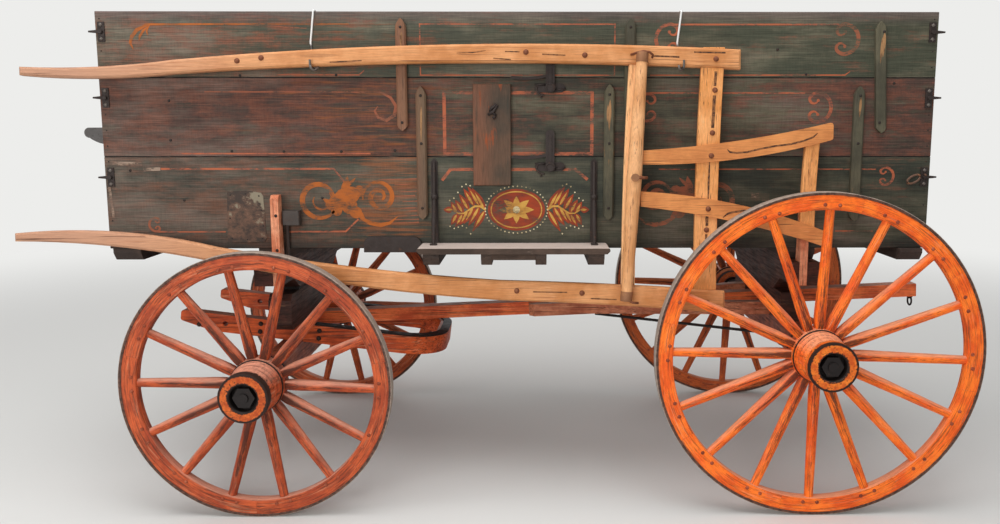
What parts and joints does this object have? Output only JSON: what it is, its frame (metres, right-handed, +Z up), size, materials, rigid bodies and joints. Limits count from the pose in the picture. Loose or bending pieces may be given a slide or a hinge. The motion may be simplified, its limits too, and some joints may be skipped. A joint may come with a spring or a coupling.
{
  "type": "farm box wagon",
  "caption": "Wooden horse-drawn farm wagon: tall stacked box on bolsters, spoked wheels on iron-ended axles, a turning front gear, and single-horse shafts hung on one side.",
  "frame": {"origin": "on the ground, on the centre line, under the middle of the whole length", "axes": "+Z up, +X towards the rear, the side that carries the shafts at -Y"},
  "size_m": [3.7063, 1.85, 1.9],
  "materials": {
    "green_paint": "worn dark green paint on wood",
    "floor_wood": "weathered bare wood",
    "gear_paint": "worn orange-red paint on wood",
    "shaft_wood": "varnished hardwood",
    "iron": "dark weathered iron",
    "tyre_iron": "road-worn steel"
  },
  "bodies": {
    "wagon": {"floor_boards": "floor_wood", "cross_sills": "floor_wood", "sides_lower": "green_paint", "sides_upper": "green_paint", "sides_top": "green_paint", "front_gate": "green_paint", "box_cleats": "green_paint", "gate_cleats": "green_paint", "end_rods": "iron", "latches": "iron", "centre_planks": "green_paint", "rub_irons": "iron", "side_steps": "floor_wood", "step_braces": "iron", "foot_board": "floor_wood", "bolsters": "gear_paint", "bolster_irons": "iron", "rear_riser": "gear_paint", "stakes": "gear_paint", "king_bolt": "iron", "reach": "gear_paint", "rear_hounds": "gear_paint", "stake_clips": "iron", "tree_irons": "iron", "rear_axle": "gear_paint", "rear_skeins": "iron", "gear_braces": "iron", "pull_ring": "iron", "shaft_top_rail": "shaft_wood", "shaft_low_rail": "shaft_wood", "shaft_cross_bars": "shaft_wood", "shaft_arms": "shaft_wood", "singletree": "shaft_wood", "hook_rods": "iron"},
    "front_gear": {"front_axle": "gear_paint", "sand_board": "gear_paint", "front_hounds": "gear_paint", "front_irons": "iron", "front_skeins": "iron"},
    "tail_gate": {"tail_gate": "green_paint"},
    "front_near_wheel": {"front_near_hub": "gear_paint", "front_near_spokes": "gear_paint", "front_near_felloe": "gear_paint", "front_near_tyre": "tyre_iron"},
    "front_far_wheel": {"front_far_hub": "gear_paint", "front_far_spokes": "gear_paint", "front_far_felloe": "gear_paint", "front_far_tyre": "tyre_iron"},
    "rear_near_wheel": {"rear_near_hub": "gear_paint", "rear_near_spokes": "gear_paint", "rear_near_felloe": "gear_paint", "rear_near_tyre": "tyre_iron"},
    "rear_far_wheel": {"rear_far_hub": "gear_paint", "rear_far_spokes": "gear_paint", "rear_far_felloe": "gear_paint", "rear_far_tyre": "tyre_iron"}
  },
  "joints": [
    {"name": "steer", "type": "hinge", "parent": "wagon", "child": "front_gear", "pos_m": [-0.9165, 0, 0.504], "axis": [0, 0, 1], "range_deg": [-17, 12]},
    {"name": "tail_gate_lift", "type": "slide", "parent": "wagon", "child": "tail_gate", "axis": [0, 0, 1], "range_m": [0, 0.9]},
    {"name": "front_near_spin", "type": "hinge", "parent": "front_gear", "child": "front_near_wheel", "pos_m": [-0.9165, -0.762, 0.504], "axis": [0, 1, 0], "continuous": true},
    {"name": "front_far_spin", "type": "hinge", "parent": "front_gear", "child": "front_far_wheel", "pos_m": [-0.9165, 0.762, 0.504], "axis": [0, 1, 0], "continuous": true},
    {"name": "rear_near_spin", "type": "hinge", "parent": "wagon", "child": "rear_near_wheel", "pos_m": [1.1765, -0.762, 0.613], "axis": [0, 1, 0], "continuous": true},
    {"name": "rear_far_spin", "type": "hinge", "parent": "wagon", "child": "rear_far_wheel", "pos_m": [1.1765, 0.762, 0.613], "axis": [0, 1, 0], "continuous": true}
  ]
}
